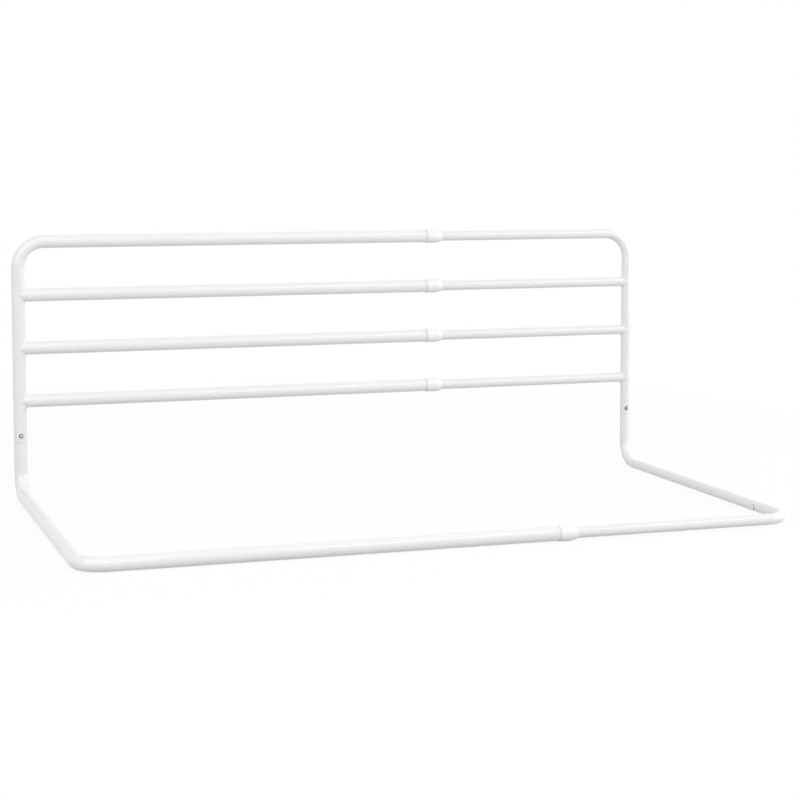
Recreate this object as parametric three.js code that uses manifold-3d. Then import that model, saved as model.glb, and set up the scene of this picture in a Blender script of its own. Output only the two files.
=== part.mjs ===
// Bed guard rail of white steel tube: a four-bar guard that stands on an L-shaped base.
// The base slides under the mattress. The right half's thin tubes telescope in the left half's
// thick ones, so the rail fits beds of different lengths. Millimetres, +X along the bars,
// -Y towards the bed, +Z up, origin in the middle of the footprint, on the bed base it lies on.

import * as THREE from 'three';
import { mergeVertices, toCreasedNormals } from 'three/addons/utils/BufferGeometryUtils.js';
import Module from 'manifold-3d';

const wasm = await Module();
wasm.setup();

// Driving dimensions of the frame
const POST_SPACING = 1376; // between the two posts' axes, drawn out as far as it goes
const GUARD_HEIGHT = 523; // top bar's axis above the base tubes' axis
const BASE_DEPTH = 748; // guard's plane to the front bar's axis
const BAR_SPACING = 110; // between the axes of neighbouring bars
const RUNG_COUNT = 3; // bars below the top bar
const OUTER_DIAMETER = 27; // left half's tube
const TUBE_WALL = 1;
const OUTER_REACH = 890; // left post's axis to the open end of the left half's bars
const GUARD_BEND = 54; // radius of the top corners, on the tube's axis
const BASE_BEND = 48; // radius of the base's corners, on the tube's axis
const FIT_GAP = 0.3; // between pieces that touch or slide

// Plastic collar on the end of each thick bar, with a sleeve in its bore
const SLEEVE_WALL = 1.3;
const SLEEVE_LENGTH = 80;
const COLLAR_LIP = 1.3; // how far it stands proud of the thick tube
const COLLAR_BODY = 24; // length of its round part
const COLLAR_CONE = 12; // length of its tapered nose
const COLLAR_NOSE = 1; // wall left at the nose's tip

// Plastic glide that plugs the hidden end of each thin bar
const GLIDE_HEAD = 20;
const GLIDE_PLUG = 15;
const GLIDE_WALL = 2;

// Swaged necks, where one tube plugs into the next
const SEAM_HEIGHT = 107; // post's lower end above the base tubes' axis
const NECK_LENGTH = 45;
const SHOULDER = 3; // length over which the tube narrows to its neck
const BUTTON_FROM_SEAM = 14.8;
const FRONT_BUTTON_FROM_BAR = 126; // base's buttons to the front bar's axis

// Snap buttons and their leaf springs
const BUTTON_DIAMETER = 7.4;
const BUTTON_PROUD = 3.2; // dome's top above the tube
const DOME_HEIGHT = 1.6;
const BUTTON_CLEARANCE = 0.8; // shank in the holes of both tubes, all round
const FLANGE_RIM = 1.5; // flange beyond the shank
const FLANGE_THICKNESS = 0.8;
const SPRING_THICKNESS = 0.6;
const SPRING_WIDTH = 6;
const SPRING_ARM = 28; // straight length from the button to the spring's turn
const SPRING_TAIL = 5; // straight length beyond the button

// Facets
const TUBE_SIDES = 20; // a multiple of 4, so that flats face along every axis
const BUTTON_SIDES = 16;
const BEND_STEPS = 8;
const DOME_STEPS = 4;
const TURN_STEPS = 8;
const CREASE_ANGLE = 0.6;

// Sizes that follow from these
const OUTER_RADIUS = OUTER_DIAMETER / 2;
const OUTER_BORE = OUTER_RADIUS - TUBE_WALL;
const INNER_RADIUS = OUTER_BORE - FIT_GAP - SLEEVE_WALL - FIT_GAP;
const INNER_BORE = INNER_RADIUS - TUBE_WALL;
const COLLAR_RADIUS = OUTER_RADIUS + COLLAR_LIP;
const INNER_END = OUTER_REACH - SLEEVE_LENGTH; // hidden end of the thin bars
const FRONT_BUTTON = FRONT_BUTTON_FROM_BAR - BASE_DEPTH;
const FRONT_SEAM = FRONT_BUTTON + BUTTON_FROM_SEAM;
const POST_BUTTON = SEAM_HEIGHT + BUTTON_FROM_SEAM;
const SHANK_RADIUS = BUTTON_DIAMETER / 2;
const OVERRUN = OUTER_DIAMETER; // cutters reach this far past what they cut

// Finishes
const powderCoat = { color: 0xeff1f0, roughness: 0.34, metalness: 0 };
const whitePlastic = { color: 0xf4f4f2, roughness: 0.48, metalness: 0 };
const paleGlide = { color: 0xe2e2de, roughness: 0.55, metalness: 0 };
const zincSteel = { color: 0xa8aaac, roughness: 0.32, metalness: 1 };
const springSteel = { color: 0x7d8084, roughness: 0.4, metalness: 1 };

const ALONG_X = new THREE.Vector3(1, 0, 0);
const ALONG_Y = new THREE.Vector3(0, 1, 0);
const ALONG_Z = new THREE.Vector3(0, 0, 1);
const QUARTER = Math.PI / 2;

const rail = new THREE.Group();
rail.position.set((OUTER_RADIUS - POST_SPACING - INNER_RADIUS) / 2, BASE_DEPTH / 2, COLLAR_RADIUS);

/** Adds a named mesh to the rail. */
function addPiece(name, geometry, finish) {
  const mesh = new THREE.Mesh(geometry, new THREE.MeshStandardMaterial(finish));
  mesh.name = name;
  rail.add(mesh);
}

/** Closed mesh as a manifold solid. */
function toSolid(geometry) {
  const bare = geometry.clone();
  bare.deleteAttribute('normal');
  bare.deleteAttribute('uv');
  const merged = mergeVertices(bare);
  const vertProperties = new Float32Array(merged.attributes.position.array);
  const triVerts = new Uint32Array(merged.index.array);
  return new wasm.Manifold(new wasm.Mesh({ numProp: 3, vertProperties, triVerts }));
}

/** Manifold solid as a mesh with creased edges. */
function toGeometry(solid) {
  const { vertProperties, triVerts } = solid.getMesh();
  const geometry = new THREE.BufferGeometry();
  geometry.setAttribute('position', new THREE.BufferAttribute(vertProperties, 3));
  geometry.setIndex(new THREE.BufferAttribute(triVerts, 1));
  return toCreasedNormals(geometry, CREASE_ANGLE);
}

/** Corner radius of a regular outline whose flats lie at the given radius. */
function cornerRadius(flatRadius, sides) {
  return flatRadius / Math.cos(Math.PI / sides);
}

/** Corners of a regular outline with a flat towards each axis. */
function roundOutline(flatRadius, sides) {
  const radius = cornerRadius(flatRadius, sides);
  return Array.from({ length: sides }, (_, side) => {
    const angle = ((side + 1 / 2) * 2 * Math.PI) / sides;
    return new THREE.Vector2(radius * Math.cos(angle), radius * Math.sin(angle));
  });
}

/** A tube's centre line, as the stations where it gets a section: a point and a direction each. */
class Route extends THREE.Curve {
  constructor(stations) {
    super();
    this.stations = stations;
  }

  station(share) {
    return this.stations[Math.round(share * (this.stations.length - 1))];
  }

  getPointAt(share) {
    return this.station(share).point.clone();
  }

  getTangentAt(share) {
    return this.station(share).direction.clone();
  }
}

/** Straight centre line from start to end. */
function straightRoute(start, end) {
  const direction = end.clone().sub(start).normalize();
  return new Route([{ point: start, direction }, { point: end, direction }]);
}

/** Centre line from start to end with one square bend, whose sharp corner would be at corner. */
function bentRoute(start, corner, end, bendRadius) {
  const inward = corner.clone().sub(start).normalize();
  const onward = end.clone().sub(corner).normalize();
  const centre = corner.clone().addScaledVector(onward, bendRadius).addScaledVector(inward, -bendRadius);
  const stations = [{ point: start, direction: inward }];
  for (let step = 0; step <= BEND_STEPS; step += 1) {
    const angle = (QUARTER * step) / BEND_STEPS;
    const along = bendRadius * Math.sin(angle);
    const across = bendRadius * Math.cos(angle);
    const point = centre.clone().addScaledVector(inward, along).addScaledVector(onward, -across);
    const direction = inward.clone().multiplyScalar(Math.cos(angle));
    direction.addScaledVector(onward, Math.sin(angle));
    stations.push({ point, direction });
  }
  stations.push({ point: end, direction: onward });
  return new Route(stations);
}

/** Tube of one wall along a route. */
function tubeAlong(route, outerRadius) {
  const section = new THREE.Shape(roundOutline(outerRadius, TUBE_SIDES));
  section.holes.push(new THREE.Path(roundOutline(outerRadius - TUBE_WALL, TUBE_SIDES)));
  return new THREE.ExtrudeGeometry(section, { steps: route.stations.length - 1, extrudePath: route });
}

/** Solid round bar from start to end, for cutting. */
function cutterAlong(start, end, radius, sides) {
  const section = new THREE.Shape(roundOutline(radius, sides));
  return toSolid(new THREE.ExtrudeGeometry(section, { steps: 1, extrudePath: straightRoute(start, end) }));
}

/** Ring turned about an axis. The profile's points are a radius and a place along the axis. */
function turned(profile, sides, origin, axis) {
  const points = profile.map(([radius, place]) => new THREE.Vector2(cornerRadius(radius, sides), place));
  points.push(points[0].clone());
  const ring = new THREE.LatheGeometry(points, sides, Math.PI / sides);
  ring.applyQuaternion(new THREE.Quaternion().setFromUnitVectors(ALONG_Y, axis));
  return ring.translate(origin.x, origin.y, origin.z);
}

/** Place and directions of a snap-button joint: on the tube's axis, with the side its button faces. */
const postJoint = (x) => ({
  button: new THREE.Vector3(x, 0, POST_BUTTON),
  plug: ALONG_Z,
  outward: ALONG_Y.clone().negate(),
});
const baseJoint = (x, outward) => ({
  button: new THREE.Vector3(x, FRONT_BUTTON, 0),
  plug: ALONG_Y.clone().negate(),
  outward,
});

/** Hole for a button, through the wall that it faces only. */
function buttonHole({ button, outward }) {
  const end = button.clone().addScaledVector(outward, OVERRUN);
  return cutterAlong(button, end, SHANK_RADIUS + BUTTON_CLEARANCE, BUTTON_SIDES);
}

/** Swaged neck and its shoulder, which plug into a tube of the given outer radius. */
function neck({ button, plug }, outerRadius) {
  const seam = button.clone().addScaledVector(plug, -BUTTON_FROM_SEAM);
  const bore = outerRadius - TUBE_WALL;
  const neckRadius = bore - FIT_GAP;
  const profile = [
    [bore, -SHOULDER],
    [outerRadius, -SHOULDER],
    [outerRadius, -FIT_GAP],
    [neckRadius, -FIT_GAP],
    [neckRadius, NECK_LENGTH],
    [neckRadius - TUBE_WALL, NECK_LENGTH],
    [neckRadius - TUBE_WALL, -FIT_GAP - TUBE_WALL],
  ];
  return toSolid(turned(profile, TUBE_SIDES, seam, plug));
}

/** Guard tube: post, rounded top corner and top bar in one bent tube, with the button's hole at its foot. */
function guardTube(postX, barEndX, outerRadius) {
  const foot = new THREE.Vector3(postX, 0, SEAM_HEIGHT);
  const corner = new THREE.Vector3(postX, 0, GUARD_HEIGHT);
  const barEnd = new THREE.Vector3(barEndX, 0, GUARD_HEIGHT);
  const tube = toSolid(tubeAlong(bentRoute(foot, corner, barEnd, GUARD_BEND), outerRadius));
  return toGeometry(tube.subtract(buttonHole(postJoint(postX))));
}

/** Rung tube, saddle-cut at one end to sit on the post. */
function rungTube(postX, endX, height, outerRadius) {
  const start = new THREE.Vector3(postX, 0, height);
  const end = new THREE.Vector3(endX, 0, height);
  const low = start.clone().addScaledVector(ALONG_Z, -OVERRUN);
  const high = start.clone().addScaledVector(ALONG_Z, OVERRUN);
  const post = cutterAlong(low, high, outerRadius + FIT_GAP, TUBE_SIDES);
  return toGeometry(toSolid(tubeAlong(straightRoute(start, end), outerRadius)).subtract(post));
}

/** Leg tube: an L from the post's foot to the front, necked at both ends to plug into its neighbours. */
function legTube(upper, front, outerRadius) {
  const x = upper.button.x;
  const top = new THREE.Vector3(x, 0, SEAM_HEIGHT - SHOULDER);
  const heel = new THREE.Vector3(x, 0, 0);
  const toe = new THREE.Vector3(x, FRONT_SEAM + SHOULDER, 0);
  const tube = toSolid(tubeAlong(bentRoute(top, heel, toe, BASE_BEND), outerRadius));
  const necked = tube.add(neck(upper, outerRadius)).add(neck(front, outerRadius));
  return toGeometry(necked.subtract(buttonHole(upper)).subtract(buttonHole(front)));
}

/** Front tube: a socket for the leg, a rounded corner and half of the front bar. */
function frontTube(front, barEndX, outerRadius) {
  const x = front.button.x;
  const socket = new THREE.Vector3(x, FRONT_SEAM, 0);
  const corner = new THREE.Vector3(x, -BASE_DEPTH, 0);
  const barEnd = new THREE.Vector3(barEndX, -BASE_DEPTH, 0);
  const tube = toSolid(tubeAlong(bentRoute(socket, corner, barEnd, BASE_BEND), outerRadius));
  return toGeometry(tube.subtract(buttonHole(front)));
}

/** Collar: sleeve in the thick tube's bore, round body against its end, and a tapered nose. */
function collar(y, z) {
  const bore = INNER_RADIUS + FIT_GAP;
  const sleeveRadius = bore + SLEEVE_WALL;
  const profile = [
    [bore, -SLEEVE_LENGTH],
    [sleeveRadius, -SLEEVE_LENGTH],
    [sleeveRadius, FIT_GAP],
    [COLLAR_RADIUS, FIT_GAP],
    [COLLAR_RADIUS, COLLAR_BODY],
    [bore + COLLAR_NOSE, COLLAR_BODY + COLLAR_CONE],
    [bore, COLLAR_BODY + COLLAR_CONE],
  ];
  return turned(profile, TUBE_SIDES, new THREE.Vector3(OUTER_REACH, y, z), ALONG_X);
}

/** Glide: a plug in the thin tube's hidden end, with a head that slides in the thick tube's bore. */
function glide(y, z) {
  const bore = INNER_BORE - FIT_GAP - GLIDE_WALL;
  const profile = [
    [bore, -GLIDE_HEAD],
    [OUTER_BORE - FIT_GAP, -GLIDE_HEAD],
    [OUTER_BORE - FIT_GAP, -FIT_GAP],
    [INNER_BORE - FIT_GAP, -FIT_GAP],
    [INNER_BORE - FIT_GAP, GLIDE_PLUG],
    [bore, GLIDE_PLUG],
  ];
  return turned(profile, TUBE_SIDES, new THREE.Vector3(INNER_END, y, z), ALONG_X);
}

/** How far from the tube's axis a flat piece of the given half width fits inside a neck. */
function insideNeck(outerRadius, halfWidth) {
  const neckBore = outerRadius - TUBE_WALL - FIT_GAP - TUBE_WALL;
  return Math.sqrt(neckBore ** 2 - halfWidth ** 2) - FIT_GAP;
}

/** Height of the underside of a button's flange above its tube's axis. */
function flangeUnderside(outerRadius) {
  return insideNeck(outerRadius, SHANK_RADIUS + FLANGE_RIM) - FLANGE_THICKNESS;
}

/** Snap button: a flange inside the neck, a shank through both tubes, and a domed head. */
function snapButton({ button, outward }, outerRadius) {
  const underside = flangeUnderside(outerRadius);
  const domeTop = outerRadius + BUTTON_PROUD;
  const domeFoot = domeTop - DOME_HEIGHT;
  const profile = [
    [0, underside],
    [SHANK_RADIUS + FLANGE_RIM, underside],
    [SHANK_RADIUS + FLANGE_RIM, underside + FLANGE_THICKNESS],
    [SHANK_RADIUS, underside + FLANGE_THICKNESS],
  ];
  for (let step = 0; step <= DOME_STEPS; step += 1) {
    const angle = (QUARTER * step) / DOME_STEPS;
    profile.push([SHANK_RADIUS * Math.cos(angle), domeFoot + DOME_HEIGHT * Math.sin(angle)]);
  }
  profile[profile.length - 1][0] = 0;
  return turned(profile, BUTTON_SIDES, button, outward);
}

/** Leaf spring: a strip bent to a U that lies under the button and along the far wall of the neck. */
function leafSpring({ button, plug, outward }, outerRadius) {
  const near = flangeUnderside(outerRadius) - FIT_GAP - SPRING_THICKNESS / 2;
  const far = SPRING_THICKNESS / 2 - insideNeck(outerRadius, SPRING_WIDTH / 2);
  const turnRadius = (near - far) / 2;
  const middle = (near + far) / 2;
  const edge = (radius) => {
    const side = [new THREE.Vector2(SPRING_TAIL, middle + radius)];
    for (let step = 0; step <= TURN_STEPS; step += 1) {
      const angle = QUARTER + (Math.PI * step) / TURN_STEPS;
      side.push(new THREE.Vector2(radius * Math.cos(angle) - SPRING_ARM, middle + radius * Math.sin(angle)));
    }
    side.push(new THREE.Vector2(SPRING_TAIL, middle - radius));
    return side;
  };
  const outer = edge(turnRadius + SPRING_THICKNESS / 2);
  const inner = edge(turnRadius - SPRING_THICKNESS / 2);
  const strip = new THREE.Shape([...outer, ...inner.reverse()]);
  const spring = new THREE.ExtrudeGeometry(strip, { depth: SPRING_WIDTH, bevelEnabled: false });
  spring.translate(0, 0, -SPRING_WIDTH / 2);
  const across = plug.clone().cross(outward);
  spring.applyMatrix4(new THREE.Matrix4().makeBasis(plug, outward, across));
  return spring.translate(button.x, button.y, button.z);
}

/** One half of the rail: its guard tube, rungs, leg and front tube, with the buttons of its joints. */
function addHalf(side, postX, barEndX, outerRadius, inward) {
  const upper = postJoint(postX);
  const front = baseJoint(postX, inward);
  addPiece(`${side}_guard_tube`, guardTube(postX, barEndX, outerRadius), powderCoat);
  for (let rung = 1; rung <= RUNG_COUNT; rung += 1) {
    const height = GUARD_HEIGHT - rung * BAR_SPACING;
    addPiece(`${side}_rung_tube_${rung}`, rungTube(postX, barEndX, height, outerRadius), powderCoat);
  }
  addPiece(`${side}_leg_tube`, legTube(upper, front, outerRadius), powderCoat);
  addPiece(`${side}_front_tube`, frontTube(front, barEndX, outerRadius), powderCoat);
  for (const [place, joint] of [['post', upper], ['base', front]]) {
    addPiece(`${side}_${place}_button`, snapButton(joint, outerRadius), zincSteel);
    addPiece(`${side}_${place}_spring`, leafSpring(joint, outerRadius), springSteel);
  }
}

addHalf('left', 0, OUTER_REACH, OUTER_RADIUS, ALONG_X);
addHalf('right', POST_SPACING, INNER_END, INNER_RADIUS, ALONG_X.clone().negate());

const bars = [['top', 0, GUARD_HEIGHT]];
for (let rung = 1; rung <= RUNG_COUNT; rung += 1) {
  bars.push([`rung_${rung}`, 0, GUARD_HEIGHT - rung * BAR_SPACING]);
}
bars.push(['front', -BASE_DEPTH, 0]);
for (const [bar, y, z] of bars) {
  addPiece(`${bar}_collar`, collar(y, z), whitePlastic);
  addPiece(`${bar}_glide`, glide(y, z), paleGlide);
}

export default rail;
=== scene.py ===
"""Bed guard rail of white powder-coated steel tube: two bent-tube halves that telescope in five bars,
joined at their swaged necks by snap buttons. Metres, in the frame of the rail's model: +X along the
bars, -Y towards the bed, +Z up."""

import bmesh
import bpy
import numpy as np
from mathutils import Euler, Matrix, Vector


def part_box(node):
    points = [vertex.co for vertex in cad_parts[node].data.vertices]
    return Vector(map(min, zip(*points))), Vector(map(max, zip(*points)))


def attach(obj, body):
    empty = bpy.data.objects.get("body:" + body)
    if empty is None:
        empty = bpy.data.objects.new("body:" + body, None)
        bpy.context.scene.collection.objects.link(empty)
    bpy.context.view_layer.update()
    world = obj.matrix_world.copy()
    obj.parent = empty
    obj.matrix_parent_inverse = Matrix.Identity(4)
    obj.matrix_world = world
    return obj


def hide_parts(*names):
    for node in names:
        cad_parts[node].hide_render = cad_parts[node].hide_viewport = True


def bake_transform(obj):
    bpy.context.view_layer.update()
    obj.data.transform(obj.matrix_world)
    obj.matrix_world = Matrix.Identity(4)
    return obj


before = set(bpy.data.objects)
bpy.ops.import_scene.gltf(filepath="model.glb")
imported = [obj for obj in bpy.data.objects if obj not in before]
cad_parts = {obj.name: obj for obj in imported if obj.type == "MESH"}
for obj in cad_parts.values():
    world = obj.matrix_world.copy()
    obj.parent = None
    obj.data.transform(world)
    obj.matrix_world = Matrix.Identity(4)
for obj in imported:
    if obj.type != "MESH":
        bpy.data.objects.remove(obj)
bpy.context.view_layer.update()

# Camera: stands 3.6 m in front of the rail's middle and to the left of it, on the bed's side, a hand
# above the top bar, and looks a little to the right and down. Fitted to the tube edges in the photograph.
FRAME_PX = 800  # the photograph's width and height
FOCAL_PX = 1919.1
PRINCIPAL_ROW_PX = 320  # row that the camera's axis meets
SENSOR_MM = 36
CAMERA_PLACE = (-1.1978, -3.6156, 0.7144)
CAMERA_TILT = np.radians(4.894)  # below the horizon
CAMERA_TURN = np.radians(18.587)  # to the right of +Y

camera = bpy.data.objects.new("camera", bpy.data.cameras.new("camera"))
bpy.context.scene.collection.objects.link(camera)
bpy.context.scene.camera = camera
camera.location = CAMERA_PLACE
camera.rotation_euler = Euler((np.pi / 2 - CAMERA_TILT, 0, -CAMERA_TURN))
camera.data.sensor_width = SENSOR_MM
camera.data.lens = FOCAL_PX * SENSOR_MM / FRAME_PX
camera.data.shift_y = (PRINCIPAL_ROW_PX - FRAME_PX / 2) / FRAME_PX
bpy.context.scene.view_settings.view_transform = "Standard"

# Guard tubes: each half's post, rounded top corner and top bar are one steel tube, bent cold on a
# former, which flattens the bend a little. It is drilled near its foot for a snap button, sprayed
# with white polyester powder and stoved, so its cut edges and the hole's rim come out rounded.
WALL = 0.001
LIP = WALL / 2  # radius of the rounded cut edges
COLUMNS = 64  # points round a tube
GUARD_BEND = 0.054
BEND_STEPS = 24
FLATTENING_SHARE = 0.022  # of the tube's diameter, in the middle of a bend
SHANK_RADIUS = 0.0037  # of a snap button
HOLE_CLEARANCE = 0.0008
BUTTON_HOLE = SHANK_RADIUS + HOLE_CLEARANCE  # radius of the holes through both tubes
HOLE_EDGE = 0.00035  # radius of the hole's rounded rim
WINDOW = 0.009  # half length of the square of finer mesh round a hole
WINDOW_COLUMNS = 7  # half its width, in the tube's columns
RING_SHARES = (1, 0.75, 0.5, 0.3, 0.15, 0.05)  # of the way from the hole's circle to the window's edge
RIM_STEPS = 4
LIP_STEPS = 6
ROW_DECIMALS = 7  # rows whose distances agree to here are one row
COATED_DEPTH = 0.25  # share of the wall that the powder reaches over a cut edge; deeper, the bare steel's colour is a near-black painted shade
COATED_FADE = 0.25
MERGE = 2e-6  # points nearer than this become one
POWDER_DARK = (0.840, 0.848, 0.8445)
POWDER_LIGHT = (0.868, 0.876, 0.8725)
# Bare steel inside the tubes and holes: near-black painted shade that darkens the holes' bores
BARE_PAINTED_SHADE_DARK = (0.030, 0.028, 0.026)
BARE_PAINTED_SHADE_LIGHT = (0.075, 0.070, 0.066)
PEEL_GRAINS = 420.0  # to the metre, as are the next three
DRIFT_GRAINS = 9.0
NIB_GRAINS = 1900.0
BLOTCH_GRAINS = 160.0
PEEL_RELIEF = (0.3, 0.0002)  # strength as a share, and height
COAT_SHARE = 0.25  # of the clear top layer


class Signal:
    """An output of a material's nodes. Sums, differences and products of signals add Math nodes."""

    def __init__(self, tree, socket=None):
        self.tree = tree
        self.socket = socket

    def node(self, kind, settings, inputs, output=0):
        """Adds a node of a kind, makes its settings, fills its sockets and returns one output."""
        made = self.tree.nodes.new(kind)
        for name, value in settings.items():
            setattr(made, name, value)
        for name, value in inputs.items():
            if isinstance(value, Signal):
                self.tree.links.new(value.socket, made.inputs[name])
            else:
                made.inputs[name].default_value = value
        return Signal(self.tree, made.outputs[output])

    def math(self, operation, first, second):
        """One operation on two values, each a signal or a number."""
        return self.node("ShaderNodeMath", {"operation": operation}, {0: first, 1: second})

    def __add__(self, other):
        return self.math("ADD", self, other)

    def __sub__(self, other):
        return self.math("SUBTRACT", self, other)

    def __mul__(self, other):
        return self.math("MULTIPLY", self, other)

    def __rsub__(self, other):
        return self.math("SUBTRACT", other, self)

    __radd__ = __add__
    __rmul__ = __mul__

    def noise(self, place, scale, detail=2.0, roughness=0.5):
        """Noise between about 0.2 and 0.8, with scale grains to the metre."""
        inputs = {"Vector": place, "Scale": scale, "Detail": detail, "Roughness": roughness}
        return self.node("ShaderNodeTexNoise", {}, inputs)

    def blend(self, share, low, high):
        """Colour that goes from low to high as share goes from 0 to 1. Each is a signal or three numbers."""
        low, high = (end if isinstance(end, Signal) else (*end, 1) for end in (low, high))
        return self.node("ShaderNodeMix", {"data_type": "RGBA"}, {0: share, 6: low, 7: high}, 2)

    def relief(self, strength, height):
        """Normal of a skin that rises with this signal, by the height in metres where it is one."""
        return self.node("ShaderNodeBump", {}, {"Strength": strength, "Distance": height, "Height": self})


def surface(name, fixed, shade):
    """Material with one Principled shader. fixed holds the sockets that are the same all over, and shade
    is a function of the tree and of the place in metres that gives the sockets that vary."""
    material = bpy.data.materials.new(name)
    material.use_nodes = True
    tree = material.node_tree
    shader = tree.nodes["Principled BSDF"]
    for socket, value in fixed.items():
        shader.inputs[socket].default_value = value
    start = Signal(tree)
    place = start.node("ShaderNodeTexCoord", {}, {}, "Object")
    for socket, signal in shade(start, place).items():
        tree.links.new(signal.socket, shader.inputs[socket])
    return material


def powder_shade(start, place):
    """Powder coat: faint orange peel about 2 mm across, slow changes of gloss, and fine dust nibs. It ends
    inside the tube, where the steel is bare, oiled and blotched, and its colour is a near-black painted
    shade that darkens the holes' bores."""
    bare_and_shade = start.node("ShaderNodeAttribute", {"attribute_name": "bare_and_shade"}, {}, "Fac")
    peel = start.noise(place, PEEL_GRAINS, 1.5)
    drift = start.noise(place, DRIFT_GRAINS, 3.0)
    nibs = start.noise(place, NIB_GRAINS, 1.0)
    blotch = start.noise(place, BLOTCH_GRAINS, 4.0)
    coat = start.blend(drift, POWDER_DARK, POWDER_LIGHT)
    bare_steel_shade = start.blend(blotch, BARE_PAINTED_SHADE_DARK, BARE_PAINTED_SHADE_LIGHT)
    height = 0.8 * peel + 0.2 * nibs
    return {
        "Base Color": start.blend(bare_and_shade, coat, bare_steel_shade),
        "Metallic": 0.7 * bare_and_shade,
        "Coat Weight": COAT_SHARE - COAT_SHARE * bare_and_shade,
        "Roughness": 0.11 + 0.06 * drift + 0.04 * peel + 0.4 * bare_and_shade,
        "Normal": height.relief(*PEEL_RELIEF),
    }


powder_coat = surface("powder_coat", {"IOR": 1.5, "Coat Roughness": 0.06}, powder_shade)


def bent_route(start, corner, end, bend_radius):
    """Centre line: straight towards the corner, a quarter circle that rounds it, and straight to the end.
    It is a function of the distance from the start. It gives the points, the unit vectors across the
    line in the plane of the bend, the unit vector square to that plane, and how far the bend is on,
    as the sine of twice the angle turned."""
    start, corner, end = (np.array(place, float) for place in (start, corner, end))
    before = corner - start
    after = end - corner
    run = np.linalg.norm(before) - bend_radius
    arc = bend_radius * np.pi / 2
    before /= np.linalg.norm(before)
    length = run + arc + np.linalg.norm(after) - bend_radius
    after /= np.linalg.norm(after)
    square = np.cross(before, after)

    def follow(distance):
        """On by the distance, then by the bend's radius times the sine of the angle turned, while it moves
        over by that radius times one less the cosine, and on again."""
        turn = np.clip((distance - run) / bend_radius, 0, np.pi / 2)[..., None]
        first = np.minimum(distance, run)[..., None] + bend_radius * np.sin(turn)
        second = np.maximum(distance - run - arc, 0)[..., None] + bend_radius * (1 - np.cos(turn))
        across = np.cos(turn) * after - np.sin(turn) * before
        return start + first * before + second * after, across, square, np.sin(2 * turn[..., 0])

    return follow, length, run + np.linspace(0, arc, BEND_STEPS + 1)


def on_tube(route, distance, angle, radius):
    """Points round a route: radius times the cosine of the angle across it, and times the sine square to
    it. A bend draws the first in by the flattening's share."""
    point, across, square, bend = route(np.broadcast_to(distance, np.broadcast(distance, angle).shape))
    oval = 1 - FLATTENING_SHARE * bend[..., None]
    radius, angle = np.broadcast_arrays(np.asarray(radius)[..., None], np.asarray(angle)[..., None])
    return point + radius * (np.cos(angle) * oval * across + np.sin(angle) * square)


def wall_rows(outer, inner, extra):
    """Rows of a closed tube wall, as distances and radii: out along the outer line, round a half-circle
    lip, back along the inner line and round the other lip. outer and inner are breakpoints (distance,
    radius), and extra holds the distances that get rows of their own."""
    runs = []
    for line in (np.array(outer), np.array(inner)):
        first, last = line[0, 0] + LIP, line[-1, 0] - LIP
        inside = np.concatenate([line[1:-1, 0], extra])
        places = np.r_[first, inside[(inside > first) & (inside < last)], last]
        places = np.unique(places.round(ROW_DECIMALS))
        runs.append((places, np.interp(places, line[:, 0], line[:, 1])))
    turn = np.linspace(0, np.pi, LIP_STEPS + 1)[1:-1]
    (out_at, out_radius), (in_at, in_radius) = runs
    distance = np.r_[out_at, out_at[-1] + LIP * np.sin(turn), in_at[::-1], in_at[0] - LIP * np.sin(turn)]
    end_lip = out_radius[-1] - LIP * (1 - np.cos(turn))
    start_lip = in_radius[0] + LIP * (1 - np.cos(turn))
    return distance, np.r_[out_radius, end_lip, in_radius[::-1], start_lip]


def plain_wall(radius, length):
    """Outer and inner line of a tube of one thickness, as breakpoints (distance, radius) from end to end."""
    return [(0, radius), (length, radius)], [(0, radius - WALL), (length, radius - WALL)]


def quads(rows, columns, closed_rows):
    """Faces of a grid whose columns close on themselves, and whose rows may too."""
    row, column = np.indices((rows if closed_rows else rows - 1, columns))
    row_on = (row + 1) % rows
    column_on = (column + 1) % columns
    corners = (row * columns + column, row * columns + column_on)
    return np.stack([*corners, row_on * columns + column_on, row_on * columns + column], -1)


def hole_rings(at, toward, hole, outer_radius, inner_radius):
    """Rings that lead from a square window in a tube's outer wall down its drilled hole to the same window
    in the inner wall, each point as a distance, an angle and a radius. In the outer wall a ring lies
    part way from the window's edge to the hole's circle. In the hole it is that circle, widened to a
    quarter-circle rim at both walls, part way from the outer wall's height to the inner wall's."""
    side = np.arange(-WINDOW_COLUMNS, WINDOW_COLUMNS)
    whole = np.full_like(side, WINDOW_COLUMNS)
    columns = np.r_[side, whole, -side, -whole] * 2 * np.pi / COLUMNS
    lengths = np.r_[-whole, side, whole, -side] * WINDOW / WINDOW_COLUMNS
    way = np.arctan2(lengths, columns * outer_radius)
    shares = np.array(RING_SHARES)[:, None]

    def flat(radius, circle):
        """Rings in a wall of that radius. The circle's points lie at the arc sine of their offset aside
        over the radius, and each ring is its share of the way from them to the window's points."""
        aside, along = circle * np.cos(way), circle * np.sin(way)
        spread = np.arcsin(aside / radius)
        angle = toward + shares * columns + (1 - shares) * spread
        distance = at + shares * lengths + (1 - shares) * along
        return distance, angle, np.full_like(angle, radius)

    rim = np.linspace(0, np.pi / 2, RIM_STEPS + 1)
    edge_share = HOLE_EDGE / (outer_radius - inner_radius)
    widths = hole + HOLE_EDGE * np.r_[1 - np.sin(rim), (1 - np.sin(rim))[::-1]][:, None]
    depths = edge_share * (1 - np.cos(rim))
    depths = np.r_[depths, 1 - depths[::-1]][:, None]
    aside, along = widths * np.cos(way), widths * np.sin(way)
    outer_height = np.sqrt(outer_radius**2 - aside**2)
    height = (1 - depths) * outer_height + depths * np.sqrt(inner_radius**2 - aside**2)
    bore = (at + along, toward + np.arctan2(aside, height), np.hypot(aside, height))
    outside = flat(outer_radius, hole + HOLE_EDGE)
    inside = [part[::-1] for part in flat(inner_radius, hole + HOLE_EDGE)]
    return [np.concatenate(parts) for parts in zip(outside, bore, inside)]


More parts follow.
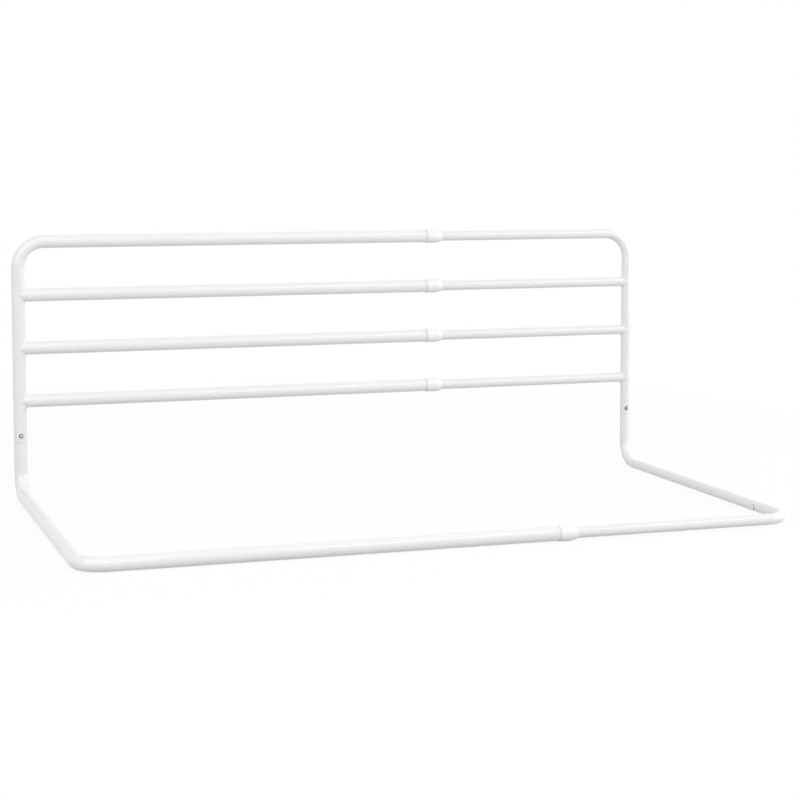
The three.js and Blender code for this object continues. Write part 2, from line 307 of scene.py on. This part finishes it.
def bare_and_shade_share(outer, distance, radius):
    """How bare a tube's steel is, and so how much near-black painted shade its colour takes: zero at the
    outer line's radius and to the middle of the wall, rising evenly to one a little before the inner radius."""
    line = np.array(outer)
    depth = (np.interp(distance, line[:, 0], line[:, 1]) - radius) / WALL
    return np.clip((depth - COATED_DEPTH) / COATED_FADE, 0, 1)


def tube_mesh(route, outer, inner, extra=(), holes=()):
    """Vertices, faces and bare shares, which also carry painted shade, of a tube with drilled holes. The
    wall is a grid of rows along the route and columns round it, closed both ways. Each hole is (distance,
    angle, radius), and its rings take the place of the faces inside its window, in the outer wall and in the
    inner one."""
    windows = [at + np.linspace(-WINDOW, WINDOW, 2 * WINDOW_COLUMNS + 1) for at, _, _ in holes]
    distance, radius = wall_rows(outer, inner, np.concatenate([*windows, extra]))
    angle = np.arange(COLUMNS) * 2 * np.pi / COLUMNS
    points = on_tube(route, distance[:, None], angle[None, :], radius[:, None])
    faces = quads(len(distance), COLUMNS, True)
    middle_at = (distance + np.roll(distance, -1)) / 2
    middle_angle = angle + np.pi / COLUMNS
    kept = np.ones(faces.shape[:2], bool)
    vertices = [points.reshape(-1, 3)]
    bare_and_shade = [np.repeat(bare_and_shade_share(outer, distance, radius), COLUMNS)]
    all_faces = []
    count = points.shape[0] * COLUMNS
    half_angle = WINDOW_COLUMNS * 2 * np.pi / COLUMNS
    for at, toward, hole in holes:
        off = (middle_angle - toward + np.pi) % (2 * np.pi) - np.pi
        kept &= ~((abs(middle_at - at) < WINDOW)[:, None] & (abs(off) < half_angle)[None, :])
        near = [np.interp(at, *np.array(line).T) for line in (outer, inner)]
        rings = hole_rings(at, toward, hole, *near)
        patch = on_tube(route, *rings)
        vertices.append(patch.reshape(-1, 3))
        bare_and_shade.append(bare_and_shade_share(outer, rings[0], rings[2]).ravel())
        all_faces.append(quads(*patch.shape[:2], False).reshape(-1, 4) + count)
        count += patch.shape[0] * patch.shape[1]
    all_faces.append(faces[kept])
    return np.concatenate(vertices), np.concatenate(all_faces), {"bare_and_shade": np.concatenate(bare_and_shade)}


def add_piece(name, points, faces, marks, material, body, node=None):
    """Makes a mesh object of points and faces, gives its points the shares in marks, closes its seams, turns
    its faces outwards, ties it to its body and hides the node that it stands for."""
    mesh = bpy.data.meshes.new(name)
    mesh.from_pydata(points.tolist(), [], faces.tolist())
    for mark, shares in marks.items():
        mesh.attributes.new(mark, "FLOAT", "POINT").data.foreach_set("value", shares)
    work = bmesh.new()
    work.from_mesh(mesh)
    bmesh.ops.remove_doubles(work, verts=work.verts, dist=MERGE)
    bmesh.ops.recalc_face_normals(work, faces=work.faces)
    work.to_mesh(mesh)
    work.free()
    mesh.shade_smooth()
    mesh.materials.append(material)
    piece = bpy.data.objects.new(name, mesh)
    bpy.context.scene.collection.objects.link(piece)
    if node:
        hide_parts(node)
    if body:
        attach(piece, body)
    return piece


def middle(node):
    """Middle of a node's box."""
    low, high = (np.array(corner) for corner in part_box(node))
    return (low + high) / 2


SIDES = {"left": -1, "right": 1}
tube_radius = {}
post_x = {}
for side, sign in SIDES.items():
    low, high = (np.array(corner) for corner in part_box(f"{side}_guard_tube"))
    radius = (high[1] - low[1]) / 2
    tube_radius[side] = radius
    post_x[side] = (high if sign > 0 else low)[0] - sign * radius
    bar_end = (low if sign > 0 else high)[0]
    plane = middle(f"{side}_guard_tube")[1]
    foot = (post_x[side], plane, low[2])
    corner = (post_x[side], plane, high[2] - radius)
    end = (bar_end, plane, high[2] - radius)
    route, length, bend = bent_route(foot, corner, end, GUARD_BEND)
    button_at = middle(f"{side}_post_button")[2] - low[2]
    # Square to the bend is +Y on the left half and -Y on the right one, and the button faces -Y.
    facing = sign * np.pi / 2
    hole = (button_at, facing, BUTTON_HOLE)
    points, faces, marks = tube_mesh(route, *plain_wall(radius, length), bend, [hole])
    body = f"{side}_half"
    add_piece(f"{side}_guard", points, faces, marks, powder_coat, body, f"{side}_guard_tube")

# Rungs: straight steel tubes, each cut at one end to a saddle that sits on its post and is welded round.
# The weld bead lies under the powder, widest in the crotches above and below the rung.
RUNGS = (1, 2, 3)
BITE = 0.0002  # how far the saddle sinks into the post's skin
SADDLE_FADE = 0.04  # length over which the rows turn from the saddle's curve to flat
SADDLE_STEPS = 8
BEAD_COLUMNS = 128  # points along the bead
BEAD_SECTION = 14  # points round its section
BEAD_TIP = 0.0022  # rounds the bead's turn at the front and the back of the post
CROTCH_BEAD = 0.0021  # bead's radius above and below the rung
SIDE_BEAD = 0.0012  # and at the front and the back
BEAD_PROUD = 0.00025  # how far it stands out at the front and the back
RIPPLES = 36  # round the bead
RIPPLE_SHARE = 0.05


def saddle_reach(angle, radius, post_radius):
    """Distance from the post's axis to its skin, along the rung: the root of the post's radius squared
    less the sideways offset squared."""
    return np.sqrt(np.maximum(post_radius**2 - (radius * np.sin(angle)) ** 2, 0))


def rung_mesh(post, sign, end_x, radius):
    """Tube from a saddle on the post's skin to a square end. Near the post each point moves along the rung
    by the saddle's reach, which fades out evenly along it."""
    length = abs(end_x - post[0])
    outer, inner = plain_wall(radius, length)
    distance, wall = wall_rows(outer, inner, np.linspace(0, SADDLE_FADE, SADDLE_STEPS + 1))
    angle = np.arange(COLUMNS) * 2 * np.pi / COLUMNS
    reach = saddle_reach(angle[None, :], wall[:, None], radius - BITE)
    along = distance[:, None] + reach * np.clip(1 - distance / SADDLE_FADE, 0, 1)[:, None]
    across = wall[:, None] * np.sin(angle)
    up = wall[:, None] * np.cos(angle)
    points = np.stack([post[0] + sign * along, post[1] + across, post[2] + up], -1)
    bare_and_shade = np.repeat(bare_and_shade_share(outer, distance, wall), COLUMNS)
    return points.reshape(-1, 3), quads(len(distance), COLUMNS, True).reshape(-1, 4), {"bare_and_shade": bare_and_shade}


def bead_mesh(post, sign, radius):
    """Weld bead: a rippled ring swept along the line where the rung meets the post. The line lies at the
    rung's radius, and at the saddle's reach along it."""
    turn = np.arange(BEAD_COLUMNS)[:, None] * 2 * np.pi / BEAD_COLUMNS
    crotch = np.cos(turn) ** 2
    bead = SIDE_BEAD + (CROTCH_BEAD - SIDE_BEAD) * crotch
    line = radius + (BEAD_PROUD - bead) * (1 - crotch)
    reach = np.sqrt((radius * np.cos(turn)) ** 2 + BEAD_TIP**2) - (bead - BEAD_PROUD) * (1 - crotch)
    section = np.arange(BEAD_SECTION)[None, :] * 2 * np.pi / BEAD_SECTION
    thick = bead * (1 + RIPPLE_SHARE * np.sin(RIPPLES * turn))
    out = line + thick * np.cos(section)
    along = reach + thick * np.sin(section)
    across = out * np.sin(turn)
    up = out * np.cos(turn)
    points = np.stack([post[0] + sign * along, post[1] + across, post[2] + up], -1)
    return points.reshape(-1, 3), quads(BEAD_COLUMNS, BEAD_SECTION, True).reshape(-1, 4)


for side, sign in SIDES.items():
    body = f"{side}_half"
    for rung in RUNGS:
        node = f"{side}_rung_tube_{rung}"
        low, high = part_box(node)
        post = np.array((post_x[side], *middle(node)[1:]))
        end_x = (low if sign > 0 else high)[0]
        points, faces, marks = rung_mesh(post, -sign, end_x, tube_radius[side])
        name = f"{side}_rung_{rung}"
        add_piece(name, points, faces, marks, powder_coat, body, node)
        points, faces = bead_mesh(post, -sign, tube_radius[side])
        marks = {"bare_and_shade": np.zeros(len(points))}
        add_piece(f"{name}_weld", points, faces, marks, powder_coat, body)

# Leg tubes: an L of the same coated steel tube, from the post's foot to the front tube. Both ends are
# swaged to a neck that plugs into the next tube, with a rounded shoulder that leaves a fine groove at
# the seam.
BASE_BEND = 0.048
NECK_LENGTH = 0.045
NECK_GAP = 0.0003  # between a neck and its socket
SHOULDER = 0.0016  # length over which the tube rounds in to its neck
SHOULDER_STEPS = 6


def shoulder_line(radius, neck_radius, length):
    """Breakpoints of a tube necked at both ends. Each shoulder is a quarter ellipse, from the neck's radius
    at the seam to the tube's radius one shoulder further in."""
    turn = np.linspace(0, np.pi / 2, SHOULDER_STEPS + 1)
    rise = NECK_LENGTH + SHOULDER * (1 - np.cos(turn))
    radii = neck_radius + (radius - neck_radius) * np.sin(turn)
    start = np.stack([rise, radii], -1)
    finish = np.stack([length - rise, radii], -1)[::-1]
    return np.r_[[(0, neck_radius)], start, finish, [(length, neck_radius)]]


for side, sign in SIDES.items():
    node = f"{side}_leg_tube"
    low, high = (np.array(corner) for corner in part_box(node))
    radius = tube_radius[side]
    x = post_x[side]
    base_z = low[2] + radius
    top = (x, high[1] - radius, high[2])
    heel = (x, high[1] - radius, base_z)
    toe = (x, low[1], base_z)
    route, length, bend = bent_route(top, heel, toe, BASE_BEND)
    neck = radius - WALL - NECK_GAP
    upper_button = high[2] - middle(f"{side}_post_button")[2]
    lower_button = length - (middle(f"{side}_base_button")[1] - low[1])
    # The route runs down and then to the front, so across it is -Y first and +Z last, and square to it
    # is -X.
    inward = np.pi / 2 if sign > 0 else -np.pi / 2
    points, faces, marks = tube_mesh(
        route,
        shoulder_line(radius, neck, length),
        shoulder_line(radius - WALL, neck - WALL, length),
        bend,
        [(upper_button, 0, BUTTON_HOLE), (lower_button, inward, BUTTON_HOLE)],
    )
    add_piece(f"{side}_leg", points, faces, marks, powder_coat, f"{side}_half", node)

# Front tubes: a socket for the leg's neck, the base's rounded corner and half of the front bar, in one
# bent steel tube. It is drilled on its inner side for the snap button that holds the neck.
for side, sign in SIDES.items():
    node = f"{side}_front_tube"
    low, high = (np.array(corner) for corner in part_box(node))
    radius = tube_radius[side]
    x = post_x[side]
    base_z = low[2] + radius
    socket = (x, high[1], base_z)
    corner = (x, low[1] + radius, base_z)
    end = ((low if sign > 0 else high)[0], low[1] + radius, base_z)
    route, length, bend = bent_route(socket, corner, end, BASE_BEND)
    button_at = high[1] - middle(f"{side}_base_button")[1]
    hole = (button_at, 0, BUTTON_HOLE)
    points, faces, marks = tube_mesh(route, *plain_wall(radius, length), bend, [hole])
    add_piece(f"{side}_front", points, faces, marks, powder_coat, f"{side}_half", node)

# Collars: white plastic mouldings pressed into the open ends of the thick bars. A long sleeve fills the
# gap round the thin tube, and the visible body ends in a tapered nose with a rounded lip.
SLEEVE_WALL = 0.0013
SLEEVE_LENGTH = 0.08
COLLAR_CONE = 0.012
COLLAR_NOSE = 0.001  # wall left at the nose's tip
SLIDE_GAP = 0.0003
TURNED_COLUMNS = 72
FILLET_STEPS = 6
FINE_FILLET = 0.0003
SLEEVE_FILLET = 0.0004
INNER_FILLET = 0.0002
BACK_FILLET = 0.0006
CONE_FILLET = 0.0012
NOSE_FILLET = 0.0007
COLLAR_SHADED = (0.905, 0.907, 0.903)
COLLAR_LIT = (0.932, 0.934, 0.929)
SPARK_GRAINS = 1500.0
FLOW_GRAINS = 60.0
SPARK_RELIEF = (0.12, 0.0001)


def rounded(corners):
    """Closed outline with each corner (radius, place, fillet) replaced by a curve: a square blend of the
    corner with the two points that lie one fillet away from it along its sides."""
    corners = np.array(corners, float)
    place, fillet = corners[:, :2], corners[:, 2:]
    to_last = np.roll(place, 1, 0) - place
    to_next = np.roll(place, -1, 0) - place
    enter = place + fillet * to_last / np.linalg.norm(to_last, axis=1, keepdims=True)
    leave = place + fillet * to_next / np.linalg.norm(to_next, axis=1, keepdims=True)
    share = np.linspace(0, 1, FILLET_STEPS + 1)[None, :, None]
    ends = (1 - share) ** 2 * enter[:, None] + share**2 * leave[:, None]
    return (ends + 2 * share * (1 - share) * place[:, None]).reshape(-1, 2)


def turned(outline, centre, axis, columns=TURNED_COLUMNS):
    """Ring turned about an axis through the centre: each point of the outline (radius, place along the
    axis) goes round it at its radius."""
    axis = np.array(axis, float)
    side = np.cross(axis, (0, 1, 0) if abs(axis[1]) < 0.5 else (0, 0, 1))
    other = np.cross(axis, side)
    angle = np.arange(columns)[None, :, None] * 2 * np.pi / columns
    radius, along = outline[:, None, :1], outline[:, None, 1:]
    points = np.array(centre) + along * axis + radius * (np.cos(angle) * side + np.sin(angle) * other)
    return points.reshape(-1, 3), quads(len(outline), columns, True).reshape(-1, 4)


def collar_shade(start, place):
    """Moulded plastic: a very fine spark texture and faint flow marks."""
    spark = start.noise(place, SPARK_GRAINS, 3.0)
    flow = start.noise(place, FLOW_GRAINS, 2.0)
    return {
        "Base Color": start.blend(flow, COLLAR_SHADED, COLLAR_LIT),
        "Roughness": 0.30 + 0.08 * spark + 0.04 * flow,
        "Normal": spark.relief(*SPARK_RELIEF),
    }


collar_plastic = surface("collar_plastic", {"IOR": 1.49}, collar_shade)
BARS = ("top", "rung_1", "rung_2", "rung_3", "front")
inner_radius = tube_radius["right"]
for bar in BARS:
    low, high = (np.array(corner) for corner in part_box(f"{bar}_collar"))
    outside = (high[1] - low[1]) / 2
    bore = inner_radius + SLIDE_GAP
    sleeve = bore + SLEEVE_WALL
    body_end = high[0] - low[0] - COLLAR_CONE
    tip = high[0] - low[0]
    outline = rounded(
        [
            (bore, 0, FINE_FILLET),
            (sleeve, 0, SLEEVE_FILLET),
            (sleeve, SLEEVE_LENGTH + SLIDE_GAP, INNER_FILLET),
            (outside, SLEEVE_LENGTH + SLIDE_GAP, BACK_FILLET),
            (outside, body_end, CONE_FILLET),
            (bore + COLLAR_NOSE, tip, NOSE_FILLET),
            (bore, tip, FINE_FILLET),
        ]
    )
    centre = (low[0], *middle(f"{bar}_collar")[1:])
    points, faces = turned(outline, centre, (1, 0, 0))
    name = f"{bar}_collar_ring"
    add_piece(name, points, faces, {}, collar_plastic, "left_half", f"{bar}_collar")

# Glides: plugs of natural plastic in the hidden ends of the thin bars. Their heads run in the thick
# tubes' bores and keep the thin bars from rattling.
GLIDE_PLUG = 0.015
GLIDE_WALL = 0.002
GLIDE_BORE_FILLET = 0.0004
GLIDE_HEAD_FILLET = 0.0012
GLIDE_END_FILLET = 0.0008
NYLON_SHADED = (0.66, 0.655, 0.62)
NYLON_LIT = (0.78, 0.775, 0.745)
SCUFF_GRAINS = 1600.0
CLOUD_GRAINS = 120.0
SCUFF_RELIEF = (0.2, 0.0001)
SCUFF_STRETCH = (0.08, 1.0, 1.0)


def glide_shade(start, place):
    """Unpigmented nylon: milky, a little blotchy, with scuffs drawn out along the bar."""
    stretch = start.node("ShaderNodeMapping", {}, {"Vector": place, "Scale": SCUFF_STRETCH})
    scuffs = start.noise(stretch, SCUFF_GRAINS, 3.0)
    cloud = start.noise(place, CLOUD_GRAINS, 2.0)
    return {
        "Base Color": start.blend(cloud, NYLON_SHADED, NYLON_LIT),
        "Roughness": 0.42 + 0.18 * scuffs,
        "Normal": scuffs.relief(*SCUFF_RELIEF),
    }


glide_plastic = surface("glide_plastic", {"IOR": 1.53}, glide_shade)
for bar in BARS:
    low, high = (np.array(corner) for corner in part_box(f"{bar}_glide"))
    head = (high[1] - low[1]) / 2
    plug = inner_radius - WALL - SLIDE_GAP
    bore = plug - GLIDE_WALL
    neck_at = high[0] - low[0] - GLIDE_PLUG - SLIDE_GAP
    outline = rounded(
        [
            (bore, 0, GLIDE_BORE_FILLET),
            (head, 0, GLIDE_HEAD_FILLET),
            (head, neck_at, GLIDE_END_FILLET),
            (plug, neck_at, FINE_FILLET),
            (plug, high[0] - low[0], GLIDE_END_FILLET),
            (bore, high[0] - low[0], GLIDE_BORE_FILLET),
        ]
    )
    centre = (low[0], *middle(f"{bar}_glide")[1:])
    points, faces = turned(outline, centre, (1, 0, 0))
    name = f"{bar}_glide_plug"
    add_piece(name, points, faces, {}, glide_plastic, "right_half", f"{bar}_glide")

# Snap buttons: turned steel studs with a domed head, zinc plated. A flange inside the neck holds each
# one in, and the shank stands through the holes of both tubes.
DOME_HEIGHT = 0.0016
FLANGE_THICKNESS = 0.0008
BUTTON_COLUMNS = 48
DOME_STEPS = 10
CROWN_EDGE = 0.0035  # radius at which the crown's painted highlight ends
CROWN_FADE = 0.0008
FLANK_SHOWN = 0.0018  # length of the flank that stands out of the tube
# Shares of painted highlight against painted shade on the flank and the crown, set by comparing pixels with
# the photograph; more painted highlight on the base buttons than on the post ones
PAINTED_LIGHT_SHARES = {"post": (0.25, 0.62), "base": (0.85, 1.0)}
STUD_FILLET = 0.0002
DOME_FILLET = 0.0001
ZINC_PAINTED_SHADE = (0.030, 0.031, 0.033)
ZINC_BRIGHT = (0.74, 0.75, 0.76)
CRYSTAL_GRAINS = 900.0
BLAST_GRAINS = 6000.0
METAL_RELIEF = (0.15, 0.00005)


def zinc_shade(start, place):
    """Zinc plate: small cloudy crystals and a fine blasted grain. Its colour is painted light: a near-black
    painted shade on the flank and flange, and the zinc's own colour with a painted highlight on the crown."""
    painted_light = start.node("ShaderNodeAttribute", {"attribute_name": "painted_light"}, {}, "Fac")
    cloud = start.noise(place, CRYSTAL_GRAINS, 3.0)
    grain = start.noise(place, BLAST_GRAINS, 2.0)
    return {
        "Base Color": start.blend(painted_light * (0.7 + 0.6 * cloud), ZINC_PAINTED_SHADE, ZINC_BRIGHT),
        "Roughness": 0.46 + 0.10 * cloud - 0.2 * painted_light,
        "Normal": grain.relief(*METAL_RELIEF),
    }


def painted_light_share(outline, height, flank, crown):
    """Share of each point of a stud's outline that takes the lit zinc colour rather than the painted shade:
    the crown's painted highlight on the dome near the axis, the flank's beyond the crown's edge, a smooth
    step between them, and zero, full painted shade, at the flange and the neck's wall."""
    share = np.clip((CROWN_EDGE - outline[:, 0]) / CROWN_FADE, 0, 1)
    share = flank + (crown - flank) * share * share * (3 - 2 * share)
    return share * (outline[:, 1] > height - DOME_HEIGHT - FLANK_SHOWN)


zinc_steel = surface("zinc_steel", {"Metallic": 1.0}, zinc_shade)
BUTTONS = {
    "left_post": (0, -1, 0),
    "right_post": (0, -1, 0),
    "left_base": (1, 0, 0),
    "right_base": (-1, 0, 0),
}
for joint, facing in BUTTONS.items():
    low, high = (np.array(corner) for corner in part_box(f"{joint}_button"))
    facing = np.array(facing, float)
    height = abs((high - low) @ facing)
    flange = np.delete((high - low) / 2, abs(facing).argmax()).max()
    foot = middle(f"{joint}_button") - facing * height / 2
    turn = np.linspace(0, np.pi / 2, DOME_STEPS + 1)
    dome = np.stack([SHANK_RADIUS * np.cos(turn), height - DOME_HEIGHT * (1 - np.sin(turn))], -1)
    under = rounded(
        [
            (0, 0, 0),
            (flange, 0, STUD_FILLET),
            (flange, FLANGE_THICKNESS, STUD_FILLET),
            (SHANK_RADIUS, FLANGE_THICKNESS, STUD_FILLET),
            (SHANK_RADIUS, height - DOME_HEIGHT - FLANK_SHOWN, STUD_FILLET),
            (SHANK_RADIUS, height - DOME_HEIGHT, DOME_FILLET),
        ]
    )
    outline = np.r_[under[:-1], dome, [(0, height)]]
    points, faces = turned(outline, foot, facing, BUTTON_COLUMNS)
    # Painted light on the stud: painted shade on its flank and flange, a painted highlight on its crown,
    # stronger on the base buttons than on the post ones
    flank, crown = PAINTED_LIGHT_SHARES[joint.split("_")[1]]
    marks = {"painted_light": np.repeat(painted_light_share(outline, height, flank, crown), BUTTON_COLUMNS)}
    body = f"{joint}_button_body"
    add_piece(f"{joint}_stud", points, faces, marks, zinc_steel, body, f"{joint}_button")

# Leaf springs: strips of spring steel bent to a U inside the necks. One leaf lies against the neck's
# far wall and the other pushes the button out, and bends down with it when it is pressed.
SPRING_THICKNESS = 0.0006
SPRING_TURN_STEPS = 20
STRIP_EDGE = 0.00015  # cut off the section's corners
TEMPER_BLUE = (0.25, 0.27, 0.31)
TEMPER_STRAW = (0.42, 0.40, 0.37)
TEMPER_GRAINS = 140.0
ROLLED_GRAINS = 4200.0


def spring_shade(start, place):
    """Spring steel: straw and blue tempering tints, oiled, with a rolled grain."""
    temper = start.noise(place, TEMPER_GRAINS, 2.0)
    grain = start.noise(place, ROLLED_GRAINS, 2.0)
    return {
        "Base Color": start.blend(temper, TEMPER_BLUE, TEMPER_STRAW),
        "Roughness": 0.30 + 0.15 * grain,
        "Normal": grain.relief(*METAL_RELIEF),
    }


def strip_mesh(centre, plug, outward, tail, arm, near, far, width):
    """Strip swept along a U: straight under the button, half a circle, and straight back. The section is a
    flat rectangle with cut corners, closed at both ends by drawing it in to its middle."""
    turn_radius = (near - far) / 2
    turn = np.linspace(0, np.pi, SPRING_TURN_STEPS + 1)
    along = np.r_[tail, tail, -arm - turn_radius * np.sin(turn), tail, tail]
    across = np.r_[near, near, (near + far) / 2 + turn_radius * np.cos(turn), far, far]
    lean = np.r_[0, 0, turn, np.pi, np.pi]
    size = np.r_[0, np.ones(SPRING_TURN_STEPS + 3), 0][:, None]
    half = width / 2
    thick = SPRING_THICKNESS / 2
    cut = STRIP_EDGE
    wide = np.array([half, half, half - cut, cut - half, -half, -half, cut - half, half - cut])
    tall = np.array([cut - thick, thick - cut, thick, thick, thick - cut, cut - thick, -thick, -thick])
    level = along[:, None] - size * tall * np.sin(lean)[:, None]
    rise = across[:, None] + size * tall * np.cos(lean)[:, None]
    sideways = np.cross(plug, outward)
    points = centre + level[..., None] * plug + rise[..., None] * outward
    points = points + (size * wide)[..., None] * sideways
    return points.reshape(-1, 3), quads(len(along), len(wide), False).reshape(-1, 4)


spring_steel = surface("spring_steel", {"Metallic": 1.0}, spring_shade)
PLUGS = {"post": (0, 0, 1), "base": (0, -1, 0)}
for joint, facing in BUTTONS.items():
    side, place = joint.split("_")
    plug = np.array(PLUGS[place], float)
    outward = np.array(facing, float)
    button = middle(f"{joint}_button")
    axis_point = np.array([post_x[side], button[1], button[2]])
    if place == "post":
        axis_point[1] = middle(f"{side}_rung_tube_1")[1]
    low, high = (np.array(corner) - axis_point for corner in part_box(f"{joint}_spring"))
    spans = {name: sorted((low @ way, high @ way)) for name, way in (("along", plug), ("across", outward))}
    width = abs((high - low) @ np.cross(plug, outward))
    near = spans["across"][1] - SPRING_THICKNESS / 2
    far = spans["across"][0] + SPRING_THICKNESS / 2
    tail = spans["along"][1]
    arm = -spans["along"][0] - SPRING_THICKNESS / 2 - (near - far) / 2
    points, faces = strip_mesh(axis_point, plug, outward, tail, arm, near, far, width)
    name = f"{joint}_leaf"
    piece = add_piece(name, points, faces, {}, spring_steel, None, f"{joint}_spring")
    tuple(axis_point + far * outward)
    tuple(axis_point + near * outward)
    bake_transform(piece)

# Studio: a pale floor that shows white to the camera and in reflections and keeps a faint shadow, and a
# white surround. A wide soft lamp stands in front on the left and one low on the right. A weak one
# behind on the right lights the rims, and a narrow one in front on the right draws the streaks.
FLOOR_SIZE = 60.0
FLOOR_GREY = 0.56
SHADOW_SHARE = 0.10  # of the floor's own shading that shows near the rail
FADE_FROM = 1.2  # distance from the middle at which that shading starts to fade out
FADE_TO = 2.6
FLOOR_PALE = 0.98
SURROUND_LIGHT = 0.56
RAYS_THAT_SEE_WHITE = ("Is Camera Ray", "Is Glossy Ray", "Is Transmission Ray")
LAMP_DISTANCE = 4.5
LAMPS = {  # degrees to the right of -Y, degrees up, width, height, light as a share of full white
    "left_lamp": (-38, 36, 6.0, 4.4, 0.54),
    "side_lamp": (85, 16, 5.0, 2.4, 0.50),
    "rim_lamp": (115, 22, 3.4, 2.2, 0.045),
    "streak_lamp": (36, 41, 2.2, 0.8, 0.08),
}


def shown_ray(start):
    """One for rays from the camera, from a mirror-like surface or through a clear one, else zero."""
    rays = [start.node("ShaderNodeLightPath", {}, {}, name) for name in RAYS_THAT_SEE_WHITE]
    return start.math("MINIMUM", rays[0] + rays[1] + rays[2], 1.0)


half = FLOOR_SIZE / 2
floor_mesh = bpy.data.meshes.new("floor")
floor_corners = [(-half, -half, 0), (half, -half, 0), (half, half, 0), (-half, half, 0)]
floor_mesh.from_pydata(floor_corners, [], [(0, 1, 2, 3)])
floor = bpy.data.objects.new("floor", floor_mesh)
bpy.context.scene.collection.objects.link(floor)

floor_material = bpy.data.materials.new("floor")
floor_material.use_nodes = True
start = Signal(floor_material.node_tree)
place = start.node("ShaderNodeTexCoord", {}, {}, "Object")
distance = start.node("ShaderNodeVectorMath", {"operation": "LENGTH"}, {0: place}, "Value")
fade = {"Value": distance, "From Min": FADE_FROM, "From Max": FADE_TO, "To Min": SHADOW_SHARE, "To Max": 0.0}
shading_share = start.node("ShaderNodeMapRange", {"interpolation_type": "SMOOTHSTEP"}, fade)
grey = start.node("ShaderNodeBsdfDiffuse", {}, {"Color": (FLOOR_GREY,) * 3 + (1,)})
pale = start.node("ShaderNodeBsdfDiffuse", {}, {"Color": (FLOOR_PALE,) * 3 + (1,)})
white = start.node("ShaderNodeEmission", {}, {"Color": (1, 1, 1, 1), "Strength": 1.0})
seen = start.node("ShaderNodeMixShader", {}, {0: shading_share, 1: white, 2: pale})
mixed = start.node("ShaderNodeMixShader", {}, {0: shown_ray(start), 1: grey, 2: seen})
output = floor_material.node_tree.nodes["Material Output"]
floor_material.node_tree.links.new(mixed.socket, output.inputs["Surface"])
floor_mesh.materials.append(floor_material)

world = bpy.data.worlds.new("surround")
bpy.context.scene.world = world
world.use_nodes = True
start = Signal(world.node_tree)
background = world.node_tree.nodes["Background"]
strength = SURROUND_LIGHT + (1 - SURROUND_LIGHT) * shown_ray(start)
world.node_tree.links.new(strength.socket, background.inputs["Strength"])
background.inputs["Color"].default_value = (1, 1, 1, 1)

for name, (azimuth, elevation, width, height, share) in LAMPS.items():
    azimuth, elevation = np.radians([azimuth, elevation])
    flat = np.cos(elevation)
    toward = Vector((np.sin(azimuth) * flat, -np.cos(azimuth) * flat, np.sin(elevation)))
    lamp = bpy.data.lights.new(name, "AREA")
    lamp.shape = "RECTANGLE"
    lamp.size, lamp.size_y = width, height
    lamp.energy = share * (np.pi * LAMP_DISTANCE) ** 2
    holder = bpy.data.objects.new(name, lamp)
    bpy.context.scene.collection.objects.link(holder)
    holder.location = LAMP_DISTANCE * toward
    holder.rotation_euler = toward.to_track_quat("Z", "Y").to_euler()
    holder.visible_camera = False
